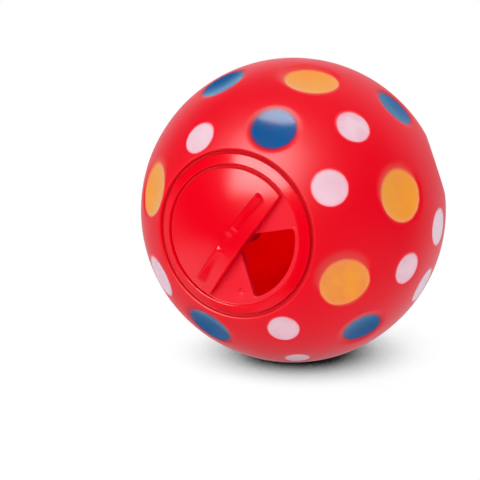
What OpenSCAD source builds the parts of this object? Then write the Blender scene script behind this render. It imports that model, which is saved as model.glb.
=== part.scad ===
// Treat dispensing ball: a soft hollow ball with dished and flat painted spots,
// and a rigid insert in its mouth, whose dial turns over a quarter opening.
// The ball stands on one flat spot, whose centre is the origin. The insert's
// axis runs through the ball's centre along -Y.
// Places on the insert are given as seen from the front: X to the right, Z up.

/* [Ball] */
// Outer diameter of the ball
ball_d = 140; // [125:1:160]
// Thickness of the soft wall
ball_wall = 3; // [2.4:0.1:3.6]

/* [Mouth] */
// Radius that rounds the lip into the ball's outside
lip_round = 0.8; // [0.4:0.1:1.2]
// Thickness of the collar that grips the insert's neck
collar_wall = 4.5; // [3:0.1:6]
// Depth of the collar behind the flange's seat
collar_len = 9; // [5:0.5:12]

/* [Spots] */
// Diameter of a yellow dished spot
yellow_d = 26; // [18:0.5:26.5]
// Depth of a yellow dish under the ball's round outline
yellow_deep = 3; // [1.8:0.1:3.4]
// Diameter of a blue dished spot
blue_d = 23; // [16:0.5:24]
// Depth of a blue dish under the ball's round outline
blue_deep = 2.5; // [1.5:0.1:3]
// Diameter of a white flat spot
white_d = 15.4; // [12:0.2:16]

/* [Insert] */
// Width of the insert's flange, from the recess to its outer edge
flange_w = 4.2; // [3:0.1:5.5]
// How far the flange's round top lies under the ball's outline
flange_sink = 1.25; // [0.6:0.05:1.8]
// Thickness of the flange at its outer edge
flange_edge_t = 1.7; // [1.2:0.1:2.4]
// Radius of the flange's rounded edges
flange_round = 0.5; // [0.2:0.1:0.8]
// Thickness of the wall round the recess
recess_wall = 1.4; // [1:0.1:1.8]
// Thickness of the neck behind the flange
neck_wall = 2; // [1.5:0.1:2.6]
// Length of the neck behind the flange
neck_len = 10; // [6:0.5:14]

/* [Plate] */
// Depth of the plate under the flange's inner edge
plate_sink = 1.8; // [1.2:0.1:2.4]
// Thickness of the plate
plate_t = 3; // [2:0.1:4]
// Thickness of the boss round the dial's stem
boss_wall = 2.55; // [1.8:0.05:3.5]
// Length of the boss behind the plate
boss_len = 13; // [9:0.5:18]
// Width of the plate's rim outside the opening
opening_rim = 2.2; // [1.8:0.1:5]
// Direction of the opening's lower edge, from +X towards +Z
opening_from = -72; // [-90:1:-55]
// Direction of the opening's upper edge, from +X towards +Z
opening_to = 12; // [0:0.5:20]
// How far both edges lie inside the lines through the axis
opening_inset = 0.8; // [0:0.1:2]
// Radius of the opening's corners
opening_round = 1.6; // [0.5:0.1:2.5]

/* [Detents] */
// Distance of the detent pits from the recess's wall
pit_in = 5.9; // [5:0.1:9]
// Diameter of a pit
pit_d = 2.3; // [1.6:0.1:2.6]
// Depth of a pit
pit_deep = 0.6; // [0.4:0.1:1]
// Direction of the pit beside the opening's lower edge
pit_from = -81.5; // [-84:0.5:-80]
// Turn from one pit to the next
pit_step = 45; // [45:45:90]
// Diameter of the round mark at the opening's upper corner
mark_d = 2.2; // [1.4:0.1:2.6]

/* [Dial] */
// Diameter of the dial
dial_d = 57.4; // [56:0.1:58.4]
// Distance of the dial's straight side from its crown
chord_in = 2.6; // [1:0.1:4]
// Direction that the straight side faces at rest
dial_rest = -36.5; // [-45:0.5:-28]
// Rise of the dial's cone from its rim to its crown
dial_rise = 4; // [2.5:0.1:5]
// Diameter of the dial's flat crown
crown_d = 9; // [7:0.1:11]
// Thickness of the dial's wall
dial_wall = 1.8; // [1.2:0.1:2.2]
// Diameter of the dial's stem
stem_d = 6; // [5:0.1:7]

/* [Grip ribs] */
// Distance of a rib's inner end from the crown
rib_crown_gap = 0.3; // [0.2:0.1:3]
// Distance of a rib's outer end from the dial's edge
rib_rim_gap = 4.3; // [3:0.1:8]
// Height of a rib's inner end over the crown
rib_h = 0.6; // [0.2:0.1:2.5]
// Drop of the crest from the inner end to the outer end
rib_drop = 0.6; // [0:0.1:1.5]
// Width of a rib at its foot
rib_foot_w = 3.4; // [3:0.1:5]
// Width of a rib at its crest
rib_crest_w = 1; // [1:0.1:2.4]

/* [Fastening] */
// Diameter of the screw's thread
screw_d = 2.6; // [2.2:0.1:3]
// Length of the screw under its head
screw_len = 10; // [7:0.5:12]
// How far the screw's head stands out round its thread
screw_head_w = 1.6; // [1.2:0.1:2]
// Thickness of the screw's head
screw_head_t = 1.8; // [1.4:0.1:2.4]
// How far the washer stands out round the stem
washer_w = 1.2; // [0.8:0.1:1.8]
// Thickness of the washer
washer_t = 0.8; // [0.5:0.1:1.2]

/* [Clearances] */
// Gap between the flange's edge and the mouth's lip
lip_gap = 1.5; // [1:0.1:2.2]
// Gap between the dial's edge and the recess's wall
rim_gap = 1.4; // [0.8:0.1:2]
// Gap round the neck in the soft collar
neck_gap = 0.1; // [0.05:0.01:0.1]
// Gap between the flange and its seat
seat_gap = 0.1; // [0.05:0.01:0.2]
// Gap between the dial and the plate under it
dial_gap = 0.3; // [0.15:0.05:0.5]
// Gap round the stem in the boss
stem_gap = 0.05; // [0.03:0.01:0.1]
// Endwise play of the dial between the plate and the washer
end_play = 0.1; // [0.05:0.01:0.2]
// How much the thread bites into the stem's pilot hole, on the radius
thread_bite = 0.05; // [0.02:0.01:0.1]

/* [Hidden] */
$fn = 96;

// Overrun of every cut past the face that it leaves
over = 1;
// Shallow dimple in the middle of the dial's crown
crown_dip = 0.4;
crown_dip_d = 5;
// Bevel round the dial's rim
edge_soft = 0.4;
// Detent pip under the dial
pip_d = 1.8;
// Depth of the mark at the opening's corner
mark_deep = 0.4;
// Cross recess in the screw's head
driver_w = 0.9;
driver_l = 3.4;
driver_deep = 1;
// Facets of the ribs and the small round holes, and steps of a short arc
rib_fn = 32;
arc_steps = 8;

ball_r = ball_d / 2;
inside_r = ball_r - ball_wall;

// Diameters and distances from the insert's axis, from the dial outwards
recess_d = dial_d + 2 * rim_gap;
neck_d = recess_d + 2 * recess_wall;
flange_d = recess_d + 2 * flange_w;
lip_d = flange_d + 2 * lip_gap;
opening_r = recess_d / 2 - opening_rim;
pit_r = recess_d / 2 - pit_in;
chord_off = crown_d / 2 + chord_in;
rib_in = crown_d / 2 + rib_crown_gap;
rib_out = dial_d / 2 - rib_rim_gap;
bore_d = stem_d + 2 * stem_gap;
boss_d = bore_d + 2 * boss_wall;
washer_d = stem_d + 2 * washer_w;
screw_head_d = screw_d + 2 * screw_head_w;

// Heights along the insert's axis, from the ball's centre outwards
cap_top_r = ball_r - flange_sink;
function on_cap(r) = sqrt(cap_top_r * cap_top_r - r * r);
flange_under = on_cap(flange_d / 2) - flange_edge_t;
seat_a = flange_under - seat_gap;
neck_end = flange_under - neck_len;
collar_end = seat_a - collar_len;
plate_top = on_cap(recess_d / 2) - plate_sink;
plate_under = plate_top - plate_t;
boss_end = plate_under - boss_len;
dial_under = plate_top + dial_gap;
dial_rim = on_cap(dial_d / 2);
crown_a = dial_rim + dial_rise;
hub_under = plate_top + end_play;
stem_end = boss_end - end_play;
washer_end = stem_end - washer_t;

// Places of the spots: angle from the insert's axis, then the direction round
// it from +X towards +Z, with those near the front first in each list.
yellow_places = [
    [72, 74], [43, 161.5], [67.5, 14.5], [44, 340],
    [80, 147], [76, 233], [110, 20], [98, 182], [113, 274],
    [135, 75], [124, 213], [146, 285], [152, 175]
];
blue_places = [
    [67.5, 110], [91.5, 45.5], [42.5, 72], [43.5, 249], [65.5, 316.5],
    [71, 206], [100, 311], [106, 88], [106, 150],
    [139, 345], [127, 182], [129, 246], [155, 110]
];
white_places = [
    [39, 115.5], [62, 46.5], [41, 28.5], [91.5, 358.5], [43, 210],
    [71, 345.5], [90, 335.5], [40, 296], [63, 285.5],
    [73, 178], [116, 55], [98, 119], [97, 211], [101, 242],
    [114, 337], [125, 305], [144, 35], [128, 113], [132, 150], [154, 228], [172, 20]
];
// The flat spot that the ball stands on
foot_place = [90, 270];
stand_h = edge_a(white_d);

vinyl_red = [0.86, 0.02, 0.08];
cap_red = [0.90, 0.02, 0.06];
spot_yellow = [0.95, 0.62, 0.24];
spot_blue = [0.12, 0.36, 0.62];
spot_white = [0.96, 0.84, 0.88];
steel = [0.72, 0.72, 0.74];

// Turns the insert's axis from +Z to the front, with the drawing's Y pointing
// up, and stands the ball on its flat spot
module row_frame() translate([0, 0, stand_h]) rotate([90, 0, 0]) children();

// Carries its children out along a spot's direction
module at_spot(place, out) rotate([0, place[0], place[1]]) translate([0, 0, out]) children();

// The dish of a spot is part of a sphere that meets the ball's outside at the
// spot's edge and lies `deep` under the outside at its centre.
function edge_a(d) = sqrt(ball_r * ball_r - d * d / 4);
function dish_hollow(d, deep) = deep - (ball_r - edge_a(d));
function dish_reach(d, deep) =
    (d * d / 4 - dish_hollow(d, deep) * dish_hollow(d, deep)) / (2 * dish_hollow(d, deep));
function dish_r(d, deep) = dish_reach(d, deep) + dish_hollow(d, deep);

module dish(place, d, deep, grow = 0)
    at_spot(place, edge_a(d) + dish_reach(d, deep))
        sphere(r = dish_r(d, deep) + grow);

module flat(place)
    at_spot(place, edge_a(white_d))
        cylinder(d = white_d + 2 * over, h = ball_wall);

module dishes(grow = 0) {
    color(spot_yellow) for (place = yellow_places) dish(place, yellow_d, yellow_deep, grow);
    color(spot_blue) for (place = blue_places) dish(place, blue_d, blue_deep, grow);
}

module flats() {
    color(spot_white) for (place = concat(white_places, [foot_place])) flat(place);
}

// The hollow of the ball, which keeps the wall's thickness behind every dish
module chamber() {
    difference() {
        sphere(r = inside_r);
        dishes(ball_wall);
        translate([0, 0, collar_end])
            cylinder(d = neck_d + 2 * (neck_gap + collar_wall), h = ball_r);
    }
}

// The mouth: the bore for the neck, the seat for the flange and the round lip
module mouth() {
    lip_r = lip_d / 2;
    round_r = lip_r + lip_round;
    round_a = sqrt((ball_r - lip_round) * (ball_r - lip_round) - round_r * round_r);
    cylinder(d = neck_d + 2 * neck_gap, h = ball_r);
    translate([0, 0, seat_a]) cylinder(r = lip_r, h = ball_r - seat_a + over);
    rotate_extrude() difference() {
        polygon([
            [lip_r - over, round_a],
            [round_r, round_a],
            [round_r, round_a] * (ball_r + over) / (ball_r - lip_round),
            [lip_r - over, ball_r + over]
        ]);
        translate([round_r, round_a]) circle(r = lip_round);
    }
}

module ball_shell() color(vinyl_red) row_frame() difference() {
    sphere(r = ball_r);
    chamber();
    mouth();
    dishes();
    flats();
}

// Points of an arc round c, from angle a0 to angle a1
function arc(c, r, a0, a1) = [
    for (i = [0 : arc_steps])
        let (a = a0 + (a1 - a0) * i / arc_steps)
            c + r * [cos(a), sin(a)]
];

// Half section of the flange, the neck and the plate
function housing_section() =
    let (
        out_c = [flange_d / 2 - flange_round, on_cap(flange_d / 2 - flange_round) - flange_round],
        in_c = [recess_d / 2 + flange_round, on_cap(recess_d / 2 + flange_round) - flange_round],
        out_tilt = asin(out_c[0] / cap_top_r),
        in_tilt = asin(in_c[0] / cap_top_r)
    )
    concat(
        [
            [0, plate_top],
            [0, plate_under],
            [neck_d / 2 - neck_wall, plate_under],
            [neck_d / 2 - neck_wall, neck_end],
            [neck_d / 2, neck_end],
            [neck_d / 2, flange_under],
            [flange_d / 2, flange_under]
        ],
        arc(out_c, flange_round, 0, 90 - out_tilt),
        arc(in_c, flange_round, 90 - in_tilt, 180),
        [[recess_d / 2, plate_top]]
    );

module opening() {
    far = 2 * opening_r;
    middle = (opening_from + opening_to) / 2;
    translate([0, 0, plate_under - over])
        linear_extrude(height = plate_t + 2 * over)
            offset(r = opening_round) offset(delta = -opening_round - opening_inset)
                intersection() {
                    circle(r = opening_r + opening_inset);
                    polygon([
                        [0, 0],
                        far * [cos(opening_from), sin(opening_from)],
                        far * [cos(middle), sin(middle)],
                        far * [cos(opening_to), sin(opening_to)]
                    ]);
                }
}

module pits() {
    last_pit = floor((360 - (opening_to - pit_from)) / pit_step);
    for (i = [0 : last_pit])
        rotate([0, 0, pit_from - i * pit_step])
            translate([pit_r, 0, plate_top - pit_deep])
                cylinder(d = pit_d, h = pit_deep + over, $fn = rib_fn);
}

// Round mark where the opening's upper edge meets its outer edge
module corner_mark()
    rotate([0, 0, opening_to])
        translate([opening_r - mark_d / 2, 0, plate_top - mark_deep])
            cylinder(d = mark_d, h = mark_deep + over, $fn = rib_fn);

module cap_housing() color(cap_red) row_frame() difference() {
    union() {
        rotate_extrude() polygon(housing_section());
        translate([0, 0, boss_end]) cylinder(d = boss_d, h = boss_len + plate_t / 2);
    }
    opening();
    pits();
    corner_mark();
    translate([0, 0, boss_end - over])
        cylinder(d = bore_d, h = boss_len + plate_t + 2 * over);
}

// Keeps what lies on the dial's side of a line `off` from the axis
module d_side(off) intersection() {
    children();
    translate([off - dial_d, -dial_d / 2, 0]) cube([dial_d, dial_d, ball_d]);
}

module dial_outside() rotate_extrude() polygon(concat(
    [
        [0, dial_under],
        [dial_d / 2, dial_under],
        [dial_d / 2, dial_rim - edge_soft],
        [dial_d / 2 - edge_soft, dial_rim]
    ],
    [
        [crown_d / 2, crown_a],
        [0, crown_a]
    ]
));

module dial_inside() rotate_extrude() polygon([
    [0, dial_under - over],
    [dial_d / 2 - dial_wall, dial_under - over],
    [dial_d / 2 - dial_wall, dial_rim - dial_wall],
    [crown_d / 2, crown_a - dial_wall],
    [0, crown_a - dial_wall]
]);

// Surface height of the dial's cone at radius r
function cone_a(r) = crown_a - dial_rise * (r - crown_d / 2) / (dial_d / 2 - edge_soft - crown_d / 2);

// One grip rib: both ends are tapered posts that stand in the cone's wall
module rib() {
    in_a = cone_a(rib_in) - dial_wall / 2;
    out_r = rib_out - rib_foot_w / 2;
    out_a = cone_a(out_r) - dial_wall / 2;
    crest = crown_a + rib_h;
    hull() {
        translate([0, rib_in + rib_foot_w / 2, in_a])
            cylinder(d1 = rib_foot_w, d2 = rib_crest_w, h = crest - in_a, $fn = rib_fn);
        translate([0, out_r, out_a])
            cylinder(d1 = rib_foot_w, d2 = rib_crest_w, h = crest - rib_drop - out_a, $fn = rib_fn);
    }
}

// The detent pip hangs from the cone's underside and ends just over a pit
module pip()
    rotate([0, 0, pit_from + 180 - dial_rest])
        translate([pit_r, 0, hub_under])
            cylinder(d = pip_d, h = cone_a(pit_r) - dial_wall / 2 - hub_under, $fn = rib_fn);

module dial() color(cap_red) row_frame() rotate([0, 0, dial_rest]) difference() {
    union() {
        difference() {
            d_side(chord_off) dial_outside();
            d_side(chord_off - dial_wall) dial_inside();
        }
        for (turn = [0, 180]) rotate([0, 0, turn]) rib();
        translate([0, 0, hub_under]) cylinder(d = crown_d, h = crown_a - hub_under - dial_wall / 2);
        translate([0, 0, stem_end]) cylinder(d = stem_d, h = hub_under - stem_end + over);
        pip();
    }
    translate([0, 0, stem_end - over])
        cylinder(r = screw_d / 2 - thread_bite, h = screw_len + 2 * over, $fn = rib_fn);
    crown_dish_r = (crown_dip_d * crown_dip_d / 4 + crown_dip * crown_dip) / (2 * crown_dip);
    translate([0, 0, crown_a - crown_dip + crown_dish_r]) sphere(r = crown_dish_r);
}

module pivot_screw() color(steel) row_frame() difference() {
    union() {
        translate([0, 0, washer_end]) cylinder(d = screw_d, h = screw_len, $fn = rib_fn);
        translate([0, 0, washer_end - screw_head_t]) cylinder(d = screw_head_d, h = screw_head_t);
    }
    for (turn = [0, 90]) rotate([0, 0, turn])
        translate([-driver_l / 2, -driver_w / 2, washer_end - screw_head_t - over])
            cube([driver_l, driver_w, driver_deep + over]);
}

module pivot_washer() color(steel) row_frame() difference() {
    translate([0, 0, washer_end]) cylinder(d = washer_d, h = washer_t);
    translate([0, 0, washer_end - over])
        cylinder(d = screw_d + 2 * end_play, h = washer_t + 2 * over, $fn = rib_fn);
}

ball_shell();
cap_housing();
dial();
pivot_screw();
pivot_washer();
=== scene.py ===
"""Treat dispensing ball: meshes, finishes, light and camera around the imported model.

Every size is in millimetres until put() turns it into the row frame in metres. Shapes are
worked out in the drawing's own frame: x to the right and y up as seen from the front, z
outwards along the insert's axis, with the ball's centre as the origin.
"""
import math
from collections import namedtuple

import bpy
import numpy as np
from mathutils import Matrix, Vector
from mathutils.geometry import delaunay_2d_cdt

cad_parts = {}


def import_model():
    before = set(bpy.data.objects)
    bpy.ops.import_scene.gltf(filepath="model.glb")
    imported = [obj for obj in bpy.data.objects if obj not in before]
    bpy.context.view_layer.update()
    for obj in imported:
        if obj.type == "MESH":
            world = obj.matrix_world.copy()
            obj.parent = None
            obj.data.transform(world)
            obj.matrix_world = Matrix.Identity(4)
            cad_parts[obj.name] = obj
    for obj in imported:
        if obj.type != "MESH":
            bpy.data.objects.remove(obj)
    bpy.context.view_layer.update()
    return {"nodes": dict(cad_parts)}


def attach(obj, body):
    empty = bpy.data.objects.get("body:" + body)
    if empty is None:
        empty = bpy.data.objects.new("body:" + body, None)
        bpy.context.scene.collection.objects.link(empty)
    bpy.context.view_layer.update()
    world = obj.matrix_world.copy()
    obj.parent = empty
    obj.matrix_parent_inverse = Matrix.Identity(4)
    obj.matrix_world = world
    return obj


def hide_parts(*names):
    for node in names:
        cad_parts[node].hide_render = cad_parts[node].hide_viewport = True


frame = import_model()

MM = 0.001

# A name that ends in RING places a ring of points on a straight wall

# Ball
BALL_R = 70.0
WALL = 3.0
WHITE_D = 15.4
STAND_H = math.sqrt(BALL_R**2 - WHITE_D**2 / 4)

# Mouth
LIP_R = 35.8
LIP_ROUND = 0.8
BORE_R = 31.6
SEAT_Z = 57.78
COLLAR_WALL = 4.5
COLLAR_LEN = 9.0
MOUTH_ROUND = 0.4
LIP_RING = 0.5
BORE_RING = 2.0

# Dished and flat spots: diameter, depth, and the usual radius of the paint
KINDS = {
    "yellow": (26.0, 3.0, 11.8),
    "blue": (23.0, 2.5, 10.3),
    "white": (WHITE_D, 0.0, 7.7),
}
# Kinds in the skin's fields, and how far off one may be
KIND_NUMBERS = {"yellow": 1, "blue": 2, "white": 3}
KIND_TOLERANCE = 0.25
# Places of the spots: angle from the insert's axis, direction round it. Those with more numbers
# have their paint off the middle, to the right and up, and its own half width and half height.
PLACES = {
    "yellow": [
        (72, 74, -0.3, -2.0, 12.1, 12.1), (43, 161.5, 0.8, 0.2, 12.5, 12.5),
        (67.5, 14.5, 0.0, 0.0, 11.8, 11.8), (44, 340, 1.2, -2.4, 11.3, 11.1),
        (80, 147), (76, 233), (110, 20), (98, 182), (113, 274),
        (135, 75), (124, 213), (146, 285), (152, 175),
    ],
    "blue": [
        (67.5, 110, -1.0, 0.5, 10.8, 10.8), (91.5, 45.5, 0.6, 0.1, 9.9, 9.9),
        (42.5, 72, -0.2, 0.2, 10.0, 10.2), (43.5, 249, -1.0, -0.3, 10.9, 11.2),
        (65.5, 316.5, 0.8, -0.6, 9.7, 9.0),
        (71, 206), (100, 311), (106, 88), (106, 150),
        (139, 345), (127, 182), (129, 246), (155, 110),
    ],
    "white": [
        (39, 115.5, 0.3, -0.3, 7.5, 7.5), (62, 46.5, -0.2, -0.3, 7.6, 7.6),
        (41, 28.5, 0.0, -0.2, 8.0, 7.8), (91.5, 358.5, -1.0, -0.2, 8.4, 8.4),
        (43, 210, -1.6, -0.8, 9.6, 10.0), (71, 345.5, -0.3, 0.2, 7.2, 7.2),
        (90, 335.5, -0.8, 0.1, 7.4, 8.7), (40, 296, 0.1, -0.1, 6.9, 8.0),
        (63, 285.5, 0.0, -0.5, 5.6, 6.2),
        (73, 178), (116, 55), (98, 119), (97, 211), (101, 242),
        (114, 337), (125, 305), (144, 35), (128, 113), (132, 150),
        (154, 228), (172, 20), (90, 270),
    ],
}
# Paint of the other spots: how far off the middle, how far down, and how its size varies
PAINT_SHIFT = 0.5
PAINT_DROP = 0.8
PAINT_VARY = 0.3
PAINT_SEED = 7
LOOK_SEED = 11
# Softness of the rims in mm, and the share of it by which soft_step() lowers the depth
SPOT_SOFT = {"yellow": 0.42, "blue": 0.38, "white": 0.10}
SOFT_CUT = 0.02
# How far a spot reaches and how wide it fades, as shares of its radius
SPOT_REACH = 1.45
SPOT_FADE = 0.3

# Insert
CAP_R = 68.75
FLANGE_R = 34.3
RECESS_R = 30.1
FLANGE_EDGE_T = 1.7
FLANGE_ROUND = 0.5
HEEL_ROUND = 0.3
RECESS_FILLET = 0.45
NECK_R = 31.5
NECK_WALL = 2.0
NECK_LEN = 10.0
NECK_ROUND = 0.8
NECK_ROUND_IN = 0.5
NECK_RING = 1.5
PLATE_SINK = 1.8
PLATE_T = 3.0
PLATE_FILLET = 0.6
PLATE_RING = 1.0
BOSS_R = 5.6
BOSS_LEN = 13.0
BOSS_ROUND = 0.4
BOSS_FILLET = 0.7
BOSS_SPREAD = 0.5
STEM_BORE_R = 3.05
STEM_BORE_ROUND = 0.2
OPENING_R = 27.9
OPENING_FROM = -72.0
OPENING_TO = 12.0
OPENING_INSET = 0.8
OPENING_ROUND = 1.6
OPENING_EDGE = 0.28
PIT_R = 24.2
PIT_D = 2.3
PIT_DEEP = 0.6
PIT_EDGE = 0.22
PIT_FROM = -81.5
PIT_STEP = 45.0
PITS = 6
PIT_FILLET = 0.25
PIT_FLOOR = 0.05
MARK_R = 0.75
MARK_DEEP = 0.4
MARK_EDGE = 0.12
MARK_OUT = 0.6
MARK_UP = 0.25

# Dial
DIAL_R = 28.7
CHORD = 7.1
DIAL_CORNER = 0.6
DIAL_CORNER_IN = 2.4
LEAST_CORNER = 0.05
DIAL_REST = -36.5
DIAL_RISE = 4.0
DIAL_WALL = 1.8
DIAL_GAP = 0.3
DIAL_ROUND = 0.5
EDGE_ANGLES = (22, 45, 67, 90)
DIAL_BOW = 0.8
END_PLAY = 0.1
EDGE_SOFT = 0.4
CROWN_R = 4.5
CROWN_SOFT = 0.12
CONE_STRETCH = 1.12
DIMPLE_DEEP = 0.42
DIMPLE_OFF = 0.2
DIMPLE_SPREAD = 1.5
HUB_ROUND = 0.3
STEM_R = 3.0
STEM_FILLET = 0.2
STEM_ROUND = 0.25
PILOT_R = 1.25
PILOT_ROUND = 0.15
PILOT_LEN = 10.0
# How far the hub and the pip, and the boss, run into the wall they stand on
ROOT = 0.4
BOSS_ROOT = 0.2
# Steps of the dial's lower edge and of its pip: inset or radius, and height
FOOT_STEPS = ((0.0, 0.25), (0.12, 0.05), (0.3, 0.0))
PIP_STEPS = ((0.9, 0.5), (0.75, 0.2), (0.45, 0.03))

# Ribs of the dial
RIB_IN = 4.8
RIB_OUT = 24.4
RIB_H = 0.6
RIB_DROP = 0.6
RIB_END = 1.6
RIB_OFF = 0.8
RIB_SHIFT = 0.6
RIB_CREST = 0.5
RIB_SINK = 0.06
RIB_BLEND = 0.30
CREST_SOFT = 0.14
# Slope of the ribs' ends at the crown and at the rim, and how many times it each flank has
RIB_STEEP = (0.8, 2.3)
RIB_LEFT = 2.6
RIB_RIGHT = 0.42

# Numbers of points round and down the pieces, and spacing of the dial's nets
AROUND = 360
PSIS = np.linspace(0, 360, AROUND, endpoint=False)
DOWN = 172
DOWN_INSIDE = 64
CAP_AROUND = 320
BOSS_AROUND = 64
PIT_AROUND = 28
STEM_AROUND = 48
PIP_AROUND = 20
OPENING_POINTS = {"edge": 14, "corner": 9, "arc": 60, "bore": 40}
DIAL_POINTS = {"arc": 150, "corner": 8, "chord": 70}
TOP_NET = 0.42
TOP_NET_GAP = 0.6 * TOP_NET
UNDER_NET = 1.6
UNDER_NET_GAP = 1.0

# Edges sharper than this many degrees stay sharp
SKIN_SHARP = 40
CAP_SHARP = 35

# Steps for slopes: in degrees on the ball, in mm on the dial
BALL_STEP = 0.02
DIAL_STEP = 0.02

# Paint's distance at points without paint
NO_SPOT = 3.0
# Direction of the back's middle
BACK = np.array([[0.0, 0.0, -1.0]])

# What triangles() keeps, and how close points count as one
WHOLE_HULL = 0
INSIDE_ONLY = 1
WELD = 1e-7

# Material slot of the ball's inside; its outside is slot 0
INSIDE_SLOT = 1


def on_cap(r):
    """Height of the insert's round outline at distance r from the axis."""
    return math.sqrt(CAP_R**2 - r**2)


FLANGE_UNDER = on_cap(FLANGE_R) - FLANGE_EDGE_T
NECK_END = FLANGE_UNDER - NECK_LEN
PLATE_TOP = on_cap(RECESS_R) - PLATE_SINK
PLATE_UNDER = PLATE_TOP - PLATE_T
BOSS_END = PLATE_UNDER - BOSS_LEN
DIAL_UNDER = PLATE_TOP + DIAL_GAP
CROWN_Z = on_cap(DIAL_R) + DIAL_RISE
HUB_Z = PLATE_TOP + END_PLAY
STEM_END = BOSS_END - END_PLAY


def turn_to_row(vectors):
    """Vectors of the drawing's frame as vectors of the row frame."""
    v = np.asarray(vectors, float)
    return np.stack([v[..., 0], -v[..., 2], v[..., 1]], -1)


def put(points):
    """Points of the drawing's frame, in mm, as points of the row frame, in metres."""
    return (turn_to_row(points) + [0, 0, STAND_H]) * MM


def direction(theta, psi):
    """Unit vector at angle theta from the insert's axis, psi round it from x towards y."""
    t, p = np.radians(theta), np.radians(psi)
    return np.stack([np.sin(t) * np.cos(p), np.sin(t) * np.sin(p), np.cos(t) + 0 * p], -1)


def unit(v):
    """Vectors brought to length one."""
    return v / np.linalg.norm(v, axis=-1, keepdims=True)


def raised(flat, z):
    """Flat points brought to one height or to their own heights."""
    return np.column_stack([flat, np.broadcast_to(z, len(flat))])


class Build:
    """Collects points and faces of one piece, then makes its mesh."""

    def __init__(self):
        self.points, self.faces, self.slots, self.normals = [], [], [], []

    def add(self, points, normals=None):
        """Adds points, with their normals where they are known; returns their indices."""
        start = sum(len(p) for p in self.points)
        points = np.asarray(points, float).reshape(-1, 3)
        self.points.append(points)
        if normals is None:
            normals = np.zeros((len(points), 3))
        self.normals.append(np.asarray(normals, float).reshape(-1, 3))
        return np.arange(start, start + len(points))

    def face(self, corners, slot=0):
        self.faces.append([int(i) for i in corners])
        self.slots.append(slot)

    def band(self, a, b, slot=0):
        """Quads between two loops with the same number of points. From loop a to loop b, faces
        look to the right of the loops' own direction."""
        for a0, a1, b0, b1 in zip(a, np.roll(a, -1), b, np.roll(b, -1)):
            self.face((a0, a1, b1, b0), slot)

    def fan(self, loop, tip, slot=0):
        """Triangles between a loop and one point, turned the way the loop runs."""
        for i, j in zip(loop, np.roll(loop, -1)):
            self.face((i, j, tip), slot)

    def loops(self, rings, slot=0):
        """Bands between following rings of points; returns the rings' indices."""
        made = [self.add(r) for r in rings]
        for a, b in zip(made, made[1:]):
            self.band(a, b, slot)
        return made

    def cap(self, outer, holes=(), up=True):
        """Fills the flat area between an outer loop and holes, all given by their indices."""
        stack = np.concatenate(self.points)
        ids = np.concatenate([outer, *holes])
        rims = [stack[loop][:, :2] for loop in (outer, *holes)]
        lengths = [len(rim) for rim in rims]
        for middle, corners in triangles(np.concatenate(rims), lengths, WHOLE_HULL):
            if inside(middle, rims[0]) and not any(inside(middle, rim) for rim in rims[1:]):
                self.face(ids[corners] if up else ids[corners[::-1]])

    def fill(self, flat, ids, rim_length, up=True):
        """Joins flat points to triangles inside the rim, which the first of them make."""
        for _, corners in triangles(flat, [rim_length], INSIDE_ONLY):
            self.face(ids[corners] if up else ids[corners[::-1]])

    def turn(self, degrees):
        """Turns all points and normals round the insert's axis."""
        c, s = math.cos(math.radians(degrees)), math.sin(math.radians(degrees))
        turn = np.array([[c, s, 0], [-s, c, 0], [0, 0, 1]])
        self.points = [p @ turn for p in self.points]
        self.normals = [q @ turn for q in self.normals]

    def finish(self, name, materials, sharp_angle, fields=None):
        """Makes the mesh, with fields for its points, and puts it in the scene."""
        mesh = bpy.data.meshes.new(name)
        points = put(np.concatenate(self.points))
        mesh.from_pydata([tuple(p) for p in points], [], self.faces)
        mesh.polygons.foreach_set("material_index", self.slots)
        mesh.polygons.foreach_set("use_smooth", [True] * len(self.faces))
        for m in materials:
            mesh.materials.append(m)
        for field, values in (fields or {}).items():
            kind, key = ("FLOAT", "value") if values.ndim == 1 else ("FLOAT_VECTOR", "vector")
            attribute = mesh.attributes.new(field, kind, "POINT")
            attribute.data.foreach_set(key, values.astype(np.float32).ravel())
        mesh.validate()
        mesh.set_sharp_from_angle(angle=math.radians(sharp_angle))
        normals = np.concatenate(self.normals)
        if np.any(normals):
            set_normals(mesh, turn_to_row(normals))
        piece = bpy.data.objects.new(name, mesh)
        bpy.context.scene.collection.objects.link(piece)
        return piece


def set_normals(mesh, normals):
    """Gives vertices their exact normals; a zero keeps the mesh's own."""
    own = np.zeros(len(mesh.vertices) * 3)
    mesh.vertices.foreach_get("normal", own)
    own = own.reshape(-1, 3)
    given = np.any(normals, axis=1)
    own[given] = normals[given]
    mesh.normals_split_custom_set_from_vertices([tuple(n) for n in own])


def triangles(flat, lengths, kept):
    """Joins flat points to triangles; the first points make closed loops of these lengths, whose
    edges are kept. Gives each triangle's middle and its corners' places in the list."""
    edges, start = [], 0
    for n in lengths:
        edges += [(start + i, start + (i + 1) % n) for i in range(n)]
        start += n
    found = delaunay_2d_cdt([Vector(q) for q in flat], edges, [], kept, WELD)
    places, faces, origins = found[0], found[2], found[3]
    return [
        (np.mean([places[i] for i in f], 0), np.array([origins[i][0] for i in f])) for f in faces
    ]


def inside(point, loop):
    """Whether a flat point lies inside a closed loop."""
    x, y = point
    before = np.roll(loop, 1, 0)
    crossed = (before[:, 1] > y) != (loop[:, 1] > y)
    (x0, y0), (x1, y1) = before[crossed].T, loop[crossed].T
    return np.sum(x < (x1 - x0) * (y - y0) / (y1 - y0) + x0) % 2 == 1


def circle(r, z, n, at=(0.0, 0.0)):
    """Points of a level circle round a flat place."""
    a = np.linspace(0, 2 * math.pi, n, endpoint=False)
    return np.stack([at[0] + r * np.cos(a), at[1] + r * np.sin(a), np.full(n, z)], -1)


def lathe_rings(section, n):
    """Turns a section of (radius, height) points into rings."""
    return [circle(r, z, n) for r, z in section]


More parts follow.
